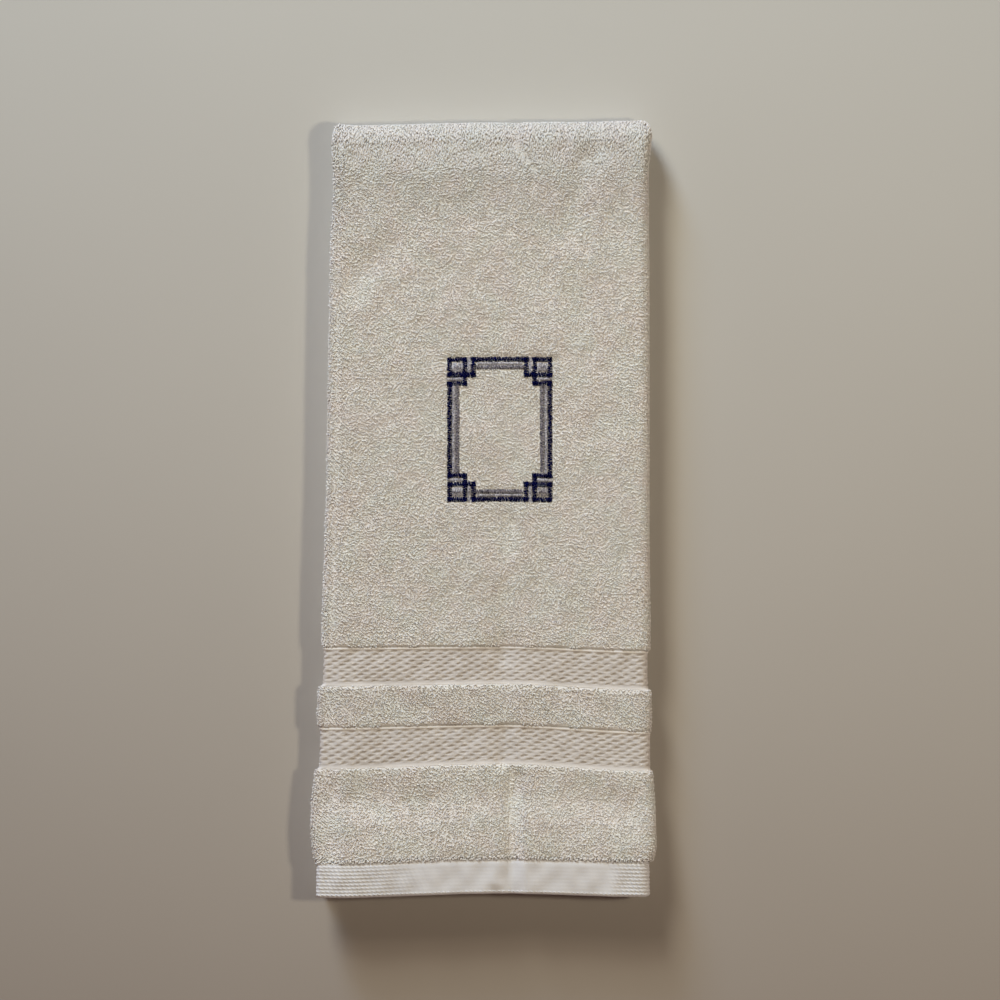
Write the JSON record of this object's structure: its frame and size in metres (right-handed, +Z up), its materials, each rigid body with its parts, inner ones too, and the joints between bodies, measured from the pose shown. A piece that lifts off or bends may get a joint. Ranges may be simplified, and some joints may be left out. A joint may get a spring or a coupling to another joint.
{
  "type": "hand towel",
  "caption": "Terry hand towel with woven borders, flat hems and an embroidered empty frame, folded in thirds and then in half, lying flat.",
  "frame": {"origin": "centre of the folded towel's outline, on the surface it lies on", "axes": "+X across the towel, to the right as it is seen from above; +Y along it, from the front hem to the fold at the top; +Z up, out of the front face"},
  "size_m": [0.153, 0.343, 0.0231],
  "materials": {
    "terry": "matt off-white cotton loops",
    "woven_cotton": "matt off-white woven cotton, in the borders and the hems",
    "navy_thread": "navy embroidery thread with a slight sheen",
    "lilac_thread": "grey lilac embroidery thread with a slight sheen"
  },
  "bodies": {
    "root": {"towel": "terry"}
  },
  "joints": []
}
